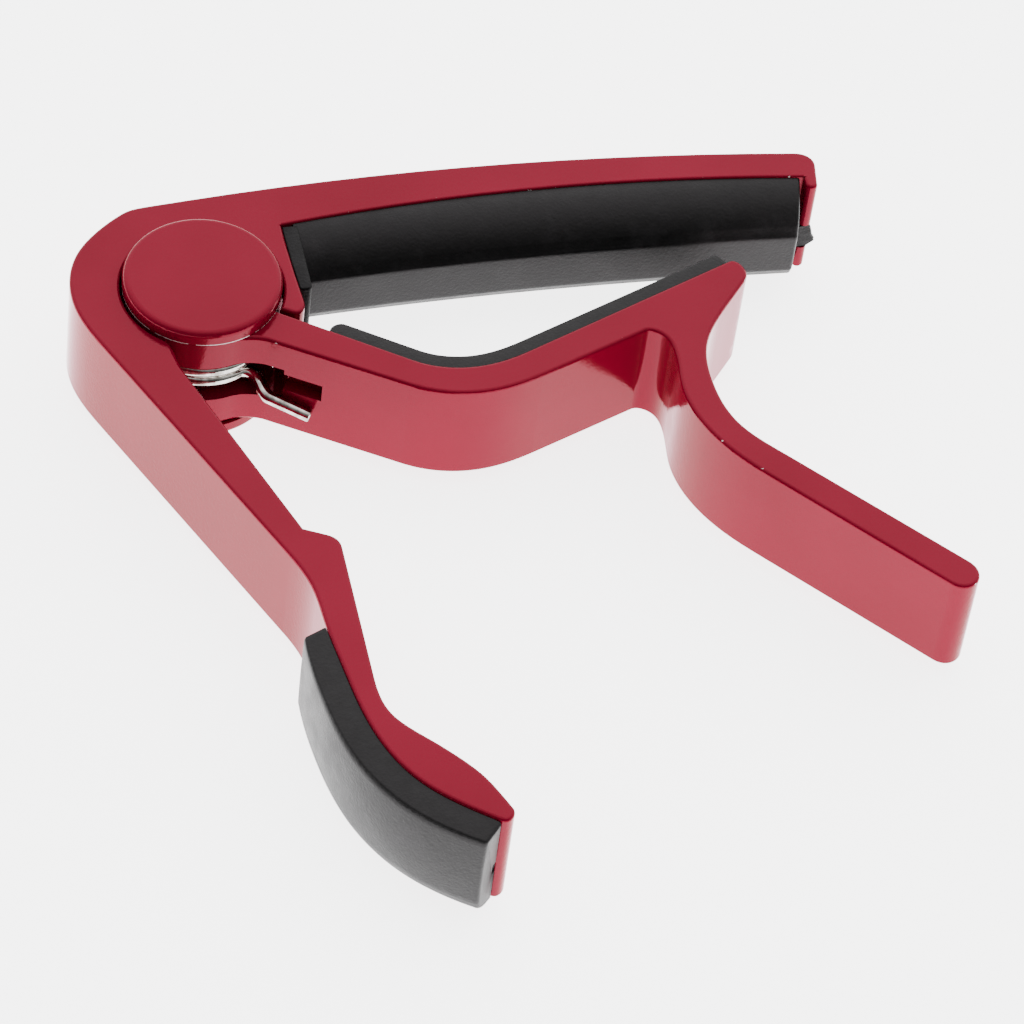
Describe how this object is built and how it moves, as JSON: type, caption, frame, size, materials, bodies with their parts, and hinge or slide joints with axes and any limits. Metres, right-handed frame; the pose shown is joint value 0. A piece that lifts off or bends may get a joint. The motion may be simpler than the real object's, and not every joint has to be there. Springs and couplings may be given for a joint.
{
  "type": "guitar capo",
  "caption": "Quick-change guitar capo: an arched padded bar and a spring-loaded padded jaw close on a neck and open by squeezing a leg and a handle together.",
  "frame": {"origin": "on the pivot axis, at the outer face of the lower hub cap", "axes": "+Z along the pivot towards the upper hub cap, +X along the bar towards its free end, +Y from the jaw towards the bar"},
  "size_m": [0.0918, 0.095, 0.0174],
  "materials": {
    "red_enamel": "glossy deep red enamel over a die-casting",
    "black_rubber": "satin moulded rubber",
    "plated_wire": "bright plated spring wire",
    "pin_steel": "plain turned steel"
  },
  "bodies": {
    "frame_body": {"main_frame": "red_enamel", "string_pad": "black_rubber", "grip_pad": "black_rubber", "pivot_pin": "pin_steel", "hub_cap_top": "red_enamel", "hub_cap_bottom": "red_enamel", "torsion_spring": "plated_wire"},
    "lever_body": {"lever": "red_enamel", "neck_pad": "black_rubber"}
  },
  "joints": [
    {"name": "lever_pivot", "type": "hinge", "parent": "frame_body", "child": "lever_body", "pos_m": [0, 0, 0.0086], "axis": [0, 0, -1], "range_deg": [0, 32], "stiffness_Nm_per_rad": 0.72, "springref_deg": -34.38, "deforming": ["torsion_spring"]}
  ]
}
